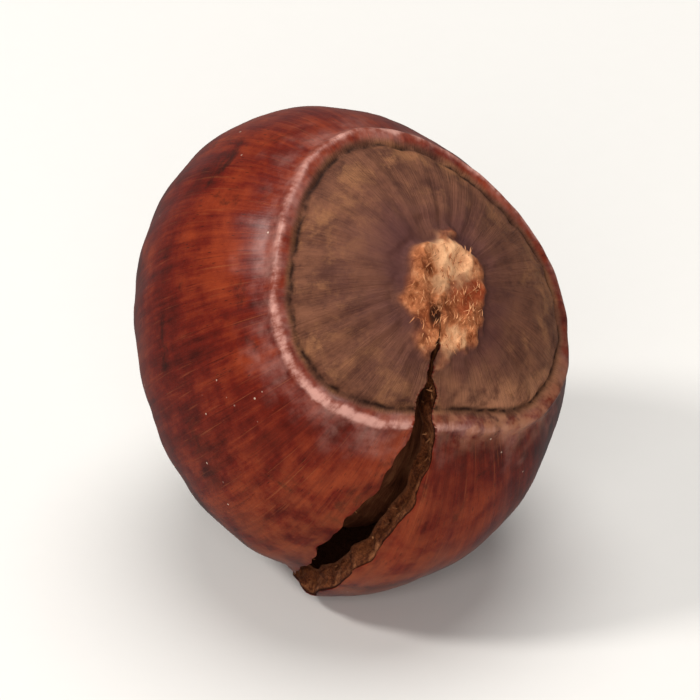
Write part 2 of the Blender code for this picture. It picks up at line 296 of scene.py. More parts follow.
@dataclass(frozen=True)
class ScarRelief:
    """The basal scar: a sunken disc with rays, a lip and a groove along its edge, and the pith spot.

    A wave of the edge is its height, its count and its turn. A spot is its places along and across the
    split's line, and how ragged it is. A side is a share of the lip's paleness, its middle and spread.
    The raised share at the lower left is a painted highlight on the lip's crest; the lowered shares are
    the lip's own tints.
    """

    edge: float = 41.4 * DEG
    waves: tuple[tuple[float, int, float], ...] = (
        (4.1 * DEG, 1, 148 * DEG),
        (3.3 * DEG, 2, 175 * DEG),
        (3.35 * DEG, 3, -124 * DEG),
    )
    edge_raggedness: float = 0.10 * MM
    sink: float = 0.10 * MM
    lip_height: float = 0.24 * MM
    lip_offset: float = 0.35 * MM
    lip_width: float = 0.36 * MM
    # Lip tints by side; the raised share at the lower left is a painted highlight on the crest.
    lip_tints_and_highlight: tuple[tuple[float, float, float], ...] = (
        (-0.55, 62 * DEG, 52 * DEG),
        (0.25, -38 * DEG, 34 * DEG),
        (-0.30, -112 * DEG, 48 * DEG),
    )
    groove_depth: float = 0.14 * MM
    groove_offset: float = -0.30 * MM
    groove_width: float = 0.25 * MM
    ray_height: float = 0.036 * MM
    rays: int = 26
    striae: float = 0.050 * MM
    rays_start: tuple[float, float] = (8 * DEG, 22 * DEG)
    pith_length: float = 2.60 * MM
    pith_width: float = 1.90 * MM
    pith_height: float = 0.36 * MM
    pith_lumps: float = 0.30 * MM
    pith_raggedness: float = 0.15
    pith_middle: tuple[float, float] = (0.50 * MM, 0.25 * MM)
    collar_depth: float = 0.12 * MM
    pit: tuple[float, float] = (1.45 * MM, -0.35 * MM)
    pit_length: float = 1.6
    pit_depth: float = 0.30 * MM
    rust_spot: tuple[float, float, float] = (0.4 * MM, 1.2 * MM, 0.5)
    cream_top: tuple[float, float, float] = (-0.9 * MM, 0.3 * MM, 0.7)
    cream_end: tuple[float, float, float] = (2.6 * MM, 0.2 * MM, 0.6)
    radius: float = 9.85 * MM
    noise: Noise = Noise(11)

    def edge_at(self, around: Array) -> Array:
        """Return the angle down to the uneven edge: a mean and three waves."""
        return self.edge + sum(height * np.cos(n * around - turn) for height, n, turn in self.waves)

    def outside(self, down: Array, around: Array) -> Array:
        """Return how far outside the scar's edge a point is, in metres, made ragged by noise."""
        ragged = self.edge_raggedness * self.noise.layered(point_at(down, around), 9)
        return (down - self.edge_at(around)) * self.radius + ragged

    def flat_spot(self, down: Array, around: Array) -> tuple[Array, Array]:
        """Return how far a point of the scar is along and across the split's line from the axis."""
        arm = self.radius * np.sin(down)
        return arm * np.cos(around), arm * np.sin(around)

    def pith_reach(self, down: Array, around: Array) -> Array:
        """Work out the distance from the pith spot's middle: an ellipse's, made ragged by noise.

        Args:
            down: Angles down the shell.
            around: Angles about the axis.

        Returns:
            The distance as a share of the spot's edge, or a large one on the far side of the nut.
        """
        along, across = self.flat_spot(down, around)
        flat = np.stack([along, across, 0 * along], axis=-1) / MM
        ragged = self.pith_raggedness * self.noise.layered(flat, 1.1)
        along = (along - self.pith_middle[0]) / self.pith_length
        across = (across - self.pith_middle[1]) / self.pith_width
        return np.where(down < math.pi / 2, np.hypot(along, across) + ragged, 9.0)

    def pit_share(self, down: Array, around: Array) -> Array:
        """Work out where the small pit is in which the split begins, by distance from its middle.

        Args:
            down: Angles down the shell.
            around: Angles about the axis.

        Returns:
            1 in the middle of the pit, falling to 0 round it.
        """
        along, across = self.flat_spot(down, around)
        reach = np.hypot((along - self.pit[0]) / self.pit_length, across - self.pit[1]) / MM
        return smooth_rise(0.42, 0.10, reach) * (down < math.pi / 2)

    def masks(self, down: Array, around: Array) -> dict[Zone, Array]:
        """Work out what the material reads on the scar: rises and bells across its edge and its spots.

        Args:
            down: Angles down the shell.
            around: Angles about the axis.

        Returns:
            For each zone of the scar, a value for each point.
        """
        outside = self.outside(down, around)
        along, across = self.flat_spot(down, around)
        mottle = self.noise.layered(point_at(down, around), 14)
        rust, top, end = (
            np.hypot(along - place, across - aside) / MM + ragged * mottle
            for place, aside, ragged in (self.rust_spot, self.cream_top, self.cream_end)
        )
        # The lip's paleness by side, with a painted highlight raised on its lower left.
        side = 1 + sum(share * bell(around, middle, spread) for share, middle, spread in self.lip_tints_and_highlight)
        bare = bell(outside + 0.4 * MM * mottle, -0.3 * MM, 1.3 * MM)
        return {
            Zone.SCAR: smooth_rise(0.05 * MM, -0.20 * MM, outside),
            Zone.LIP: bell(outside, 0.38 * MM, self.lip_width) * side,
            Zone.BARE: bell(around, 42 * DEG, 40 * DEG) * bare,
            Zone.BLOOM: smooth_rise(2.6 * MM, 0.5 * MM, outside + 0.9 * MM * mottle),
            # The groove and pit masks carry near-black paint: partly the groove's own dark line, partly
            # painted shade.
            Zone.GROOVE: bell(outside, self.groove_offset, 0.13 * MM),
            Zone.PIT: self.pit_share(down, around),
            Zone.PITH: smooth_rise(1.08, 0.82, self.pith_reach(down, around)),
            Zone.CREAM: smooth_rise(1.7, 0.5, top) + 0.7 * smooth_rise(1.0, 0.3, end),
            Zone.RUST: smooth_rise(1.0, 0.3, rust),
        }

    def height(self, down: Array, around: Array, grain: Array) -> Array:
        """Add up the scar's relief.

        The lip and the groove are bells across the edge, made uneven by noise. Inside, a sunken disc
        carries rays, a cosine of around that bends with down, and striae of drawn out noise. The pith
        is a pad of lumps that falls away at its edge, with a bell sunk round it and the pit in it.

        Args:
            down: Angles down the shell.
            around: Angles about the axis.
            grain: The grain there.

        Returns:
            How far each point stands out.
        """
        outside = self.outside(down, around)
        disc = smooth_rise(0, self.groove_offset, outside)
        uneven = 1 + 0.35 * self.noise.layered(point_at(down, around), 5)
        lip = self.lip_height * uneven * bell(outside, self.lip_offset, self.lip_width)
        groove = self.groove_depth * uneven * bell(outside, self.groove_offset, self.groove_width)
        rays = self.ray_height * np.cos(self.rays * around + 2 * np.sin(5 * down))
        striae = self.striae * self.noise.veins(grain, 14, 2)
        lines = (rays + striae) * smooth_rise(*self.rays_start, down)
        reach = self.pith_reach(down, around)
        spot = point_at(down, around, self.radius) / MM
        lumps = self.pith_lumps * self.noise.layered(spot * np.array([1.1, 1.9, 1.0]), 1.0)
        pad = smooth_rise(1.12, 0.80, reach) * (self.pith_height + lumps)
        collar = self.collar_depth * bell(reach, 1.20, 0.15) + self.pit_depth * self.pit_share(down, around)
        return lip - groove + disc * (lines - self.sink) + pad - collar


@dataclass(frozen=True)
class BodyRelief:
    """The shell's side: faint ribs and dents, fine streaks along it, and a wrinkled tip."""

    rib_height: float = 0.03 * MM
    ribs: int = 20
    dent_depth: float = 0.07 * MM
    streak: float = 0.022 * MM
    tip_wrinkle: float = 0.07 * MM
    noise: Noise = Noise(23)

    def height(self, down: Array, around: Array, grain: Array) -> Array:
        """Add up the relief of the side, which fades out at the scar and at the very tip.

        Ribs are a cosine of around, unevenly spaced. Dents are a product of sines of both angles.
        Streaks and the tip's wrinkles are drawn out noise.

        Args:
            down: Angles down the shell.
            around: Angles about the axis.
            grain: The grain there.

        Returns:
            How far each point stands out.
        """
        girth = smooth_rise(41 * DEG, 70 * DEG, down) * smooth_rise(168 * DEG, 120 * DEG, down)
        ribs = self.rib_height * np.cos(self.ribs * around + 1.5 * np.sin(3 * around))
        dents = self.dent_depth * np.sin(5 * around + 2 * np.sin(2 * down)) * np.sin(3 * down)
        streaks = self.streak * self.noise.veins(grain, 12, 1.2) * smooth_rise(44 * DEG, 56 * DEG, down)
        near_tip = smooth_rise(158 * DEG, 171 * DEG, down)
        wrinkles = self.tip_wrinkle * self.noise.veins(grain, 5, 6) * near_tip
        return girth * (ribs + dents) + smooth_rise(180 * DEG, 176 * DEG, down) * (streaks + wrinkles)


@dataclass
class Patch:
    """A grid of points with what its material reads at each: rows by columns."""

    points: Array
    grain: Array
    values: dict[Zone, Array] = field(default_factory=dict)

    def faces(self, first: int) -> Array:
        """Number the corners of the grid's four-sided faces.

        Args:
            first: The number of the grid's first point.

        Returns:
            Four point numbers for each face.
        """
        rows, columns = self.points.shape[:2]
        number = first + np.arange(rows * columns).reshape(rows, columns)
        corners = (number[:-1, :-1], number[:-1, 1:], number[1:, 1:], number[1:, :-1])
        return np.stack(corners, axis=-1).reshape(-1, 4)


@dataclass(frozen=True)
class Placing:
    """Where the nut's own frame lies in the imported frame."""

    turn: Matrix
    middle: Vector

    @classmethod
    def from_form(cls, form: NutForm, surface: Array) -> Placing:
        """Lay the nut down as the solids lie: box centred over the origin and the flat spot at zero.

        Args:
            form: The nut's form.
            surface: Points of its outer surface in its own frame.

        Returns:
            The turn and the place of the nut's middle.
        """
        turn = form.nut_turn()
        laid = surface.reshape(-1, 3) @ np.array(turn.to_3x3()).T
        low, high = laid.min(axis=0), laid.max(axis=0)
        middle = (Vector(CAD_BOX[0]) + Vector(CAD_BOX[1])) / 2
        place = Vector((middle.x - (low[0] + high[0]) / 2, middle.y - (low[1] + high[1]) / 2, 0.0))
        place.z = FLOOR - low[2] - form.rest_cut
        return cls(turn, place)

    def lay(self, points: Array) -> Array:
        """Carry points from the nut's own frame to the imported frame."""
        return points @ np.array(self.turn.to_3x3()).T + np.array(self.middle)


def link(name: str, data: bpy.types.ID) -> bpy.types.Object:
    """Put a new object into the scene.

    Args:
        name: Its name.
        data: Its mesh, lamp or lens.

    Returns:
        The object.
    """
    thing = bpy.data.objects.new(name, data)
    bpy.context.scene.collection.objects.link(thing)
    return thing


def close_up(mesh: bpy.types.Mesh, weld: bool) -> None:
    """Turn a mesh's faces outwards and draw them smooth.

    Args:
        mesh: The mesh.
        weld: Whether equal points are merged first, and faces that this leaves empty taken out.
    """
    work = bmesh.new()
    work.from_mesh(mesh)
    if weld:
        bmesh.ops.remove_doubles(work, verts=work.verts, dist=WELD)
        bmesh.ops.dissolve_degenerate(work, edges=work.edges, dist=EMPTY)
    bmesh.ops.recalc_face_normals(work, faces=work.faces)
    work.to_mesh(mesh)
    work.free()
    mesh.shade_smooth()


def make_mesh(name: str, patches: list[Patch], sharp: float) -> bpy.types.Object:
    """Join patches into one closed mesh, with their zone values as its attributes.

    Args:
        name: The piece's name.
        patches: The grids, whose borders meet point on point.
        sharp: The angle above which an edge is drawn sharp.

    Returns:
        The new object, in the scene.
    """
    points = np.concatenate([patch.points.reshape(-1, 3) for patch in patches])
    starts = np.cumsum([0] + [patch.points[..., 0].size for patch in patches])
    faces = np.concatenate([patch.faces(first) for patch, first in zip(patches, starts)])
    mesh = bpy.data.meshes.new(name)
    mesh.from_pydata(points.tolist(), [], faces.tolist())
    grain = np.concatenate([patch.grain.reshape(-1, 3) for patch in patches])
    mesh.attributes.new(Zone.GRAIN.value, "FLOAT_VECTOR", "POINT").data.foreach_set("vector", grain.ravel())
    for zone in sorted({zone for patch in patches for zone in patch.values}, key=lambda zone: zone.value):
        parts = [patch.values.get(zone, np.zeros(patch.points.shape[:2])) for patch in patches]
        whole = np.concatenate([part.ravel() for part in parts])
        mesh.attributes.new(zone.value, "FLOAT", "POINT").data.foreach_set("value", whole)
    close_up(mesh, weld=True)
    mesh.set_sharp_from_angle(angle=sharp)
    return link(name, mesh)


def dress_piece(piece: bpy.types.Object, material: bpy.types.Material) -> bpy.types.Object:
    """Dress a piece and let it ride on the body.

    Args:
        piece: The finished piece.
        material: Its material.

    Returns:
        The same piece.
    """
    piece.data.materials.append(material)
    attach(piece, BODY)
    return piece


@dataclass(frozen=True)
class Wire:
    """A shader value that reads like a number: each operator adds the Math node that it stands for."""

    board: Board
    socket: bpy.types.NodeSocket

    def __add__(self, other: Wire | float) -> Wire:
        """Add."""
        return self.board.maths(Maths.ADD, self, other)

    def __sub__(self, other: Wire | float) -> Wire:
        """Take away."""
        return self.board.maths(Maths.SUBTRACT, self, other)

    def __rsub__(self, other: float) -> Wire:
        """Take this away from a number."""
        return self.board.maths(Maths.SUBTRACT, other, self)

    def __mul__(self, other: Wire | float) -> Wire:
        """Multiply."""
        return self.board.maths(Maths.MULTIPLY, self, other)

    __radd__ = __add__
    __rmul__ = __mul__

    def larger(self, other: Wire) -> Wire:
        """Return the larger of the two."""
        return self.board.maths(Maths.LARGER, self, other)

    def rise(self, start: float, end: float) -> Wire:
        """Go smoothly from 0 to 1, or fall where start is above end.

        Args:
            start: Where the rise begins.
            end: Where it is complete.

        Returns:
            The graded value.
        """
        settings = {"interpolation_type": "SMOOTHSTEP"}
        values = {"Value": self, "From Min": start, "From Max": end}
        return self.board.node("ShaderNodeMapRange", settings, values, "Result")


class Board:
    """One material's nodes, with a short way to add and join them."""

    coat_roughness: float = 0.29
    specular: float = 0.12

    def __init__(self, name: str) -> None:
        """Start a material with its shader and no other node.

        Args:
            name: The material's name.
        """
        self.material = bpy.data.materials.new(name)
        self.material.use_nodes = True
        self.tree = self.material.node_tree
        self.shader = self.tree.nodes["Principled BSDF"]
        self.zones: dict[Zone, Wire] = {}

    def plug(self, target: bpy.types.NodeSocket, value: object) -> None:
        """Fill a socket.

        Args:
            target: The socket.
            value: A wire to link, or a number, vector or colour to set.
        """
        if isinstance(value, Wire):
            self.tree.links.new(value.socket, target)
        elif isinstance(value, tuple) and len(target.default_value) == 4:
            target.default_value = (*value, 1.0)
        else:
            target.default_value = value

    def node(self, kind: str, settings: dict, values: dict, output: str | int) -> Wire:
        """Add a node of any kind.

        Args:
            kind: The node's type.
            settings: Its own properties. "stops" gives a ramp's positions and colours.
            values: What its sockets get, by name or number: a number, a colour or a wire.
            output: The output that is wanted, by name or number.

        Returns:
            That output as a wire.
        """
        node = self.tree.nodes.new(kind)
        for key, value in settings.items():
            if key == "stops":
                self.set_stops(node.color_ramp, value)
            else:
                setattr(node, key, value)
        for key, value in values.items():
            self.plug(node.inputs[key], value)
        return Wire(self, node.outputs[output])

    @staticmethod
    def set_stops(ramp: bpy.types.ColorRamp, stops: list[tuple[float, Colour]]) -> None:
        """Give a ramp its stops.

        Args:
            ramp: The ramp.
            stops: Places and colours, in order.
        """
        while len(ramp.elements) < len(stops):
            ramp.elements.new(1.0)
        for element, (place, colour) in zip(ramp.elements, stops):
            element.position = place
            element.color = (*colour, 1.0)

    def maths(self, operation: Maths, *values: Wire | float) -> Wire:
        """Add a Math node of that operation."""
        return self.node("ShaderNodeMath", {"operation": operation.value}, dict(enumerate(values)), "Value")

    def mix(self, share: Wire | float, under: object, over: object) -> Wire:
        """Lay one colour over another by a share from 0 to 1."""
        settings = {"data_type": "RGBA", "clamp_factor": True}
        return self.node("ShaderNodeMix", settings, {0: share, 6: under, 7: over}, 2)

    def ramp(self, value: Wire, stops: list[tuple[float, Colour]]) -> Wire:
        """Turn a value into a colour by its stops."""
        return self.node("ShaderNodeValToRGB", {"stops": stops}, {"Fac": value}, "Color")

    def zone(self, zone: Zone) -> Wire:
        """Read one of the mesh's zone values, through one node however often it is used.

        Args:
            zone: Which one.

        Returns:
            Its value, or the vector that the grain is.
        """
        if zone not in self.zones:
            output = "Vector" if zone is Zone.GRAIN else "Fac"
            self.zones[zone] = self.node("ShaderNodeAttribute", {"attribute_name": zone.value}, {}, output)
        return self.zones[zone]

    def stretched(self, vector: Wire, scale: tuple[float, float, float]) -> Wire:
        """Scale a vector by a factor along each axis."""
        return self.node("ShaderNodeVectorMath", {"operation": "MULTIPLY"}, {0: vector, 1: scale}, "Vector")

    def place(self, per_mm: float) -> Wire:
        """Return the object's coordinates, in that many units to the millimetre."""
        spot = self.node("ShaderNodeTexCoord", {}, {}, "Object")
        return self.stretched(spot, (per_mm / MM,) * 3)

    def dots(self, vector: Wire, edge: tuple[float, float]) -> Wire:
        """Scatter a small dot in each cell of a vector: a fall over the distance from its middle."""
        distance = self.node("ShaderNodeTexVoronoi", {}, {"Vector": vector, "Scale": 1.0}, "Distance")
        return distance.rise(*edge)

    def finish(
        self, colour: Wire, roughness: Wire | float, height: Wire, step: float, coat: Wire | float = 0.0
    ) -> bpy.types.Material:
        """Feed the shader.

        Args:
            colour: The surface colour.
            roughness: The surface roughness.
            height: The fine relief, in units of step.
            step: How many metres one unit of height stands for.
            coat: The weight of the glossy coat.

        Returns:
            The finished material.
        """
        normal = self.node("ShaderNodeBump", {}, {"Distance": step, "Height": height}, "Normal")
        sockets = {
            "Base Color": colour,
            "Roughness": roughness,
            "Normal": normal,
            "Coat Weight": coat,
            "Coat Roughness": self.coat_roughness,
            "Specular IOR Level": self.specular,
            "Metallic": 0.0,
        }
        for name, value in sockets.items():
            self.plug(self.shader.inputs[name], value)
        return self.material


@dataclass(frozen=True)
class Clouds:
    """Even noise on a piece: its scale in cells to the millimetre, octaves, their strength, and bend."""

    scale: float
    octaves: float = 4.0
    strength: float = 0.6
    bend: float = 0.0

    def vector(self, board: Board) -> Wire:
        """Return where the noise is read."""
        return board.place(self.scale)

    def on(self, board: Board) -> Wire:
        """Read the noise.

        Args:
            board: The material's board.

        Returns:
            A value about one half.
        """
        values = {
            "Vector": self.vector(board),
            "Scale": 1.0,
            "Detail": self.octaves,
            "Roughness": self.strength,
            "Distortion": self.bend,
        }
        return board.node("ShaderNodeTexNoise", {}, values, "Fac")


@dataclass(frozen=True)
class Veins(Clouds):
    """Noise drawn out along the nut: its scale is in cells to the radian round, and along in those down."""

    along: float = 3.0

    def vector(self, board: Board) -> Wire:
        """Return where the noise is read."""
        return board.stretched(board.zone(Zone.GRAIN), (self.scale, self.scale, self.along))


@dataclass(frozen=True)
class Layer:
    """A colour laid over another where a pattern passes a cut, and in one zone where that is named."""

    pattern: Clouds
    cut: tuple[float, float]
    share: float
    colour: Colour
    zone: Zone | None = None

    def over(self, board: Board, under: Wire) -> Wire:
        """Lay the colour on.

        Args:
            board: The material's board.
            under: The colour beneath.

        Returns:
            The colour with the layer on it.
        """
        share = self.pattern.on(board).rise(*self.cut) * self.share
        if self.zone is not None:
            share = board.zone(self.zone) * share
        return board.mix(share, under, self.colour)


@dataclass(frozen=True)
class ShellFinish:
    """The shell's finish: a glossy streaked side, a dull scar, a fibrous pith and broken edges."""

    scorched: Colour = (0.016, 0.003, 0.001)
    deep: Colour = (0.046, 0.003, 0.001)
    middle: Colour = (0.116, 0.007, 0.002)
    warm: Colour = (0.235, 0.030, 0.007)
    orange: Colour = (0.280, 0.075, 0.024)
    scar_dark: Colour = (0.078, 0.028, 0.018)
    scar_light: Colour = (0.205, 0.080, 0.044)
    scar_plum: Colour = (0.108, 0.040, 0.038)
    scar_tan: Colour = (0.360, 0.155, 0.067)
    bare: Colour = (0.470, 0.205, 0.108)
    # The lip's own pale pink, brightened in part to paint the highlight that its crest catches.
    lip: Colour = (0.620, 0.320, 0.265)
    lip_dark: Colour = (0.215, 0.050, 0.030)
    # Near black: the groove's own dark line with painted shade in it, and painted shade in the pit and the
    # hairline cracks.
    groove: Colour = (0.022, 0.008, 0.005)
    pith_deep: Colour = (0.250, 0.062, 0.020)
    pith: Colour = (0.620, 0.220, 0.088)
    pith_cream: Colour = (0.980, 0.540, 0.285)
    pith_rust: Colour = (0.330, 0.055, 0.018)
    wood: Colour = (0.170, 0.050, 0.017)
    wood_dark: Colour = (0.052, 0.012, 0.005)
    wood_pale: Colour = (0.290, 0.108, 0.044)
    # The lining's brown, darkened in part to paint the shade inside the split.
    lining: Colour = (0.100, 0.033, 0.014)
    tip_dark: Colour = (0.030, 0.010, 0.006)
    tip_pale: Colour = (0.200, 0.105, 0.060)
    dust: Colour = (0.700, 0.540, 0.420)

    patches: Clouds = Clouds(0.17, 4.0, 0.55, 0.6)
    mottle: Clouds = Clouds(0.85, 4.0, 0.65)
    streaks: Clouds = Veins(24.0, 5.0, 0.68, along=2.2)
    dark_hairlines: Layer = Layer(Veins(110.0, 3.0), (0.58, 0.72), 0.55, deep)
    pale_hairlines: Layer = Layer(Veins(85.0, 3.0, along=2.6), (0.60, 0.74), 0.45, orange)
    dashes: tuple[float, float, float] = (64.0, 64.0, 13.0)
    blotches: Layer = Layer(Clouds(0.36, 6.0, 0.66, 0.5), (0.56, 0.70), 0.80, scorched)
    glow: Layer = Layer(mottle, (0.30, 0.62), 0.50, orange, Zone.WARM)
    bloom: Layer = Layer(Clouds(0.55, 5.0, 0.65), (0.36, 0.76), 0.36, lip, Zone.BLOOM)
    smoke: Layer = Layer(Veins(11.0, 5.0, 0.62, along=1.5), (0.36, 0.60), 0.85, scorched, Zone.SMOKE)
    felt: Clouds = Veins(15.0, 6.0, 0.70, along=9.0)
    dust_per_mm: float = 1.3
    dust_patches: Clouds = Clouds(0.45, 3.0, 0.55)
    rays: Clouds = Veins(20.0, 4.0, 0.7, along=2.4)
    threads: Clouds = Veins(75.0, 4.0, 0.7, along=6.0)
    scar_mottle: Clouds = Clouds(0.75, 6.0, 0.68)
    plum_patches: Clouds = Clouds(0.35, 3.0, 0.5)
    tan_flecks: Clouds = Clouds(0.65, 7.0, 0.72, 0.3)
    pith_fibres: Clouds = Clouds(2.2, 6.0, 0.72, 0.8)
    pith_lumps: Clouds = Clouds(0.8, 2.0, 0.5)
    wood_fibres: Clouds = Veins(60.0, along=14.0)
    wood_pores: Clouds = Clouds(4.6, 7.0, 0.80, 0.6)
    wood_tears: Clouds = Clouds(1.6, 6.0, 0.7)
    wobble: Clouds = Clouds(1.3, 3.0)
    lip_wrinkles: Clouds = Veins(34.0, along=9.0)
    lip_patches: Clouds = Clouds(1.1, 5.0, 0.65)
    gloss_patches: Clouds = Clouds(0.5)
    fine_streaks: Clouds = Veins(70.0, along=3.5)
    fine_rays: Clouds = Veins(60.0, 4.0, 0.7, along=4.0)
    fuzz: Clouds = Clouds(4.2, 4.0, 0.7, 0.5)
    grit: Clouds = Clouds(7.5, 4.0, 0.75)
    step: float = 0.05 * MM
    coat: float = 0.30
    dull_roughness: float = 0.68

    def side_colour(self, board: Board) -> Wire:
        """Mix the glossy side: patches, streaks along the nut, scorched blotches and pale dust.

        Args:
            board: The material's board.

        Returns:
            The colour.
        """
        patches = self.patches.on(board)
        tone = patches * 0.50 + self.mottle.on(board) * 0.26 + self.streaks.on(board) * 0.34
        colour = board.ramp(tone, [(0.43, self.deep), (0.54, self.middle), (0.67, self.warm)])
        for layer in (self.dark_hairlines, self.pale_hairlines):
            colour = layer.over(board, colour)
        dashes = board.dots(board.stretched(board.zone(Zone.GRAIN), self.dashes), (0.20, 0.08))
        colour = board.mix(dashes * patches.rise(0.42, 0.60) * 0.70, colour, self.scorched)
        for layer in (self.blotches, self.glow, self.bloom, self.smoke):
            colour = layer.over(board, colour)
        felt = self.felt.on(board)
        worn = board.mix(felt.rise(0.44, 0.66), self.tip_dark, self.tip_pale)
        colour = board.mix(board.zone(Zone.TIP) * (felt + 0.40), colour, worn)
        dust = board.dots(board.place(self.dust_per_mm), (0.085, 0.040))
        return board.mix(dust * self.dust_patches.on(board).rise(0.54, 0.64) * 0.65, colour, self.dust)

    def scar_colour(self, board: Board) -> Wire:
        """Mix the dull scar: rays in two browns, plum towards the middle and tan flecks at the margin.

        Args:
            board: The material's board.

        Returns:
            The colour.
        """
        tone = self.rays.on(board) * 0.22 + self.threads.on(board) * 0.22
        tone = tone + self.scar_mottle.on(board) * 0.62
        colour = board.mix(tone.rise(0.37, 0.67), self.scar_dark, self.scar_light)
        down = board.node("ShaderNodeSeparateXYZ", {}, {0: board.zone(Zone.GRAIN)}, "Z")
        plum = self.plum_patches.on(board).rise(0.38, 0.60)
        colour = board.mix(down.rise(0.62, 0.18) * (plum * 0.5 + 0.35), colour, self.scar_plum)
        flecks = self.tan_flecks.on(board).rise(0.46, 0.68) * down.rise(0.26, 0.60)
        return board.mix(flecks * 0.60, colour, self.scar_tan)

    def pith_colour(self, board: Board) -> Wire:
        """Mix the fibrous pith: orange, cream at the end away from the split, rusty on one side.

        Args:
            board: The material's board.

        Returns:
            The colour.
        """
        fibres = self.pith_fibres.on(board)
        tone = fibres * 0.56 + self.pith_lumps.on(board) * 0.36 + board.zone(Zone.CREAM) * 0.30 - 0.04
        colour = board.ramp(tone, [(0.38, self.pith_deep), (0.52, self.pith), (0.74, self.pith_cream)])
        return board.mix(board.zone(Zone.RUST) * (1.45 - fibres) * 0.95, colour, self.pith_rust)

    def wall_colour(self, board: Board) -> Wire:
        """Mix the broken wall: a dark skin line, tan wood with short fibres, and a brown lining darkened in
        part as painted shade.

        Args:
            board: The material's board.

        Returns:
            The colour.
        """
        depth = board.zone(Zone.DEPTH)
        tone = self.wood_fibres.on(board) * 0.30 + self.wood_pores.on(board) * 0.75
        wood = board.mix(tone.rise(0.44, 0.62), self.wood_dark, self.wood)
        torn = self.wood_tears.on(board).rise(0.48, 0.62) * depth.rise(0.75, 0.20)
        wood = board.mix(torn * 0.80, wood, self.wood_pale)
        wood = board.mix(depth.rise(0.16, 0.04), wood, self.scorched)
        # The lining colour here is partly painted shade.
        return board.mix(depth.rise(0.86, 0.98), wood, self.lining)

    def make(self) -> bpy.types.Material:
        """Build the material: the side, then scar, lip, pith, groove and broken wall over it by zone.

        Returns:
            The finished material.
        """
        board = Board("split_shell")
        scar = board.zone(Zone.SCAR)
        pith = board.zone(Zone.PITH)
        # The lip zone carries the painted highlight at its lower left, which pales and widens the lip
        # colour there.
        crest = board.zone(Zone.LIP)
        wobble = self.wobble.on(board)
        lip = (crest * (wobble + 0.35)).rise(0.25, 0.85)
        lip_tone = self.lip_wrinkles.on(board) * 0.35 + self.lip_patches.on(board) * 0.65
        lip_tone = (lip_tone + crest * 0.18 - 0.15).rise(0.38, 0.62)
        broken = board.zone(Zone.DEPTH).rise(0.015, 0.05)
        groove = board.zone(Zone.GROOVE) * (wobble + 0.15).rise(0.45, 0.75)

        colour = board.mix(scar, self.side_colour(board), self.scar_colour(board))
        colour = board.mix(lip * 0.85, colour, board.mix(lip_tone, self.lip_dark, self.lip))
        colour = board.mix(board.zone(Zone.BARE) * wobble.rise(0.34, 0.60) * 0.75, colour, self.bare)
        colour = board.mix(pith, colour, self.pith_colour(board))
        # Painted shade: the groove line, the pit and the hairline cracks go near black, the groove partly
        # by its own colour.
        colour = board.mix(groove.larger(board.zone(Zone.PIT) * 0.9), colour, self.groove)
        colour = board.mix(broken, colour, self.wall_colour(board))

        dull = scar.larger(broken).larger(lip * 0.45)
        gloss = self.gloss_patches.on(board) * 0.26 + 0.20
        roughness = gloss * (1 - dull) + dull * self.dull_roughness
        height = self.fine_streaks.on(board) * (1 - dull) * 0.35 + self.fine_rays.on(board) * scar * 1.9
        height = height + self.fuzz.on(board) * (pith * 2.2 + broken * 2.6 + 0.15)
        height = height + self.grit.on(board) * broken * 1.6
        return board.finish(colour, roughness, height, self.step, (1 - dull) * self.coat)


@dataclass(frozen=True)
class KernelFinish:
    """The kernel's papery skin: darker in its furrows, worn pale on its ridges, and darkened in part as
    painted shade.
    """

    # Dark browns of the skin, made darker than its own in part to paint the shade inside the split.
    furrow: Colour = (0.030, 0.008, 0.004)
    skin: Colour = (0.095, 0.028, 0.012)
    ridge: Colour = (0.190, 0.072, 0.030)
    flesh: Colour = (0.400, 0.240, 0.120)
    veins: Clouds = Veins(13.0, 6.0, 0.65, 0.5, along=2.2)
    mottle: Clouds = Clouds(0.7)
    worn: Layer = Layer(Clouds(0.9), (0.66, 0.74), 0.4, flesh)
    paper: Clouds = Clouds(3.0, 4.0, 0.7)
    roughness: float = 0.62
    step: float = 0.06 * MM

    def make(self) -> bpy.types.Material:
        """Build the material: veins and mottle by a ramp of three browns, with worn spots over them.

        Returns:
            The finished material.
        """
        board = Board("kernel_skin")
        veins = self.veins.on(board)
        stops = [(0.36, self.furrow), (0.50, self.skin), (0.68, self.ridge)]
        colour = self.worn.over(board, board.ramp(veins * 0.6 + self.mottle.on(board) * 0.4, stops))
        return board.finish(colour, self.roughness, veins * 1.5 + self.paper.on(board) * 0.5, self.step)


@dataclass(frozen=True)
class StrandFinish:
    """The finish of thin strands, whose colour varies from place to place between two tones."""

    name: str
    dark: Colour
    light: Colour
    roughness: float = 0.6
    tone: Clouds = Clouds(1.6, 3.0)
    fibres: Clouds = Clouds(9.0, 2.0)
    step: float = 0.01 * MM

    def make(self) -> bpy.types.Material:
        """Build the material.

        Returns:
            The finished material.
        """
        board = Board(self.name)
        colour = board.mix(self.tone.on(board).rise(0.38, 0.62), self.dark, self.light)
        return board.finish(colour, self.roughness, self.fibres.on(board), self.step)


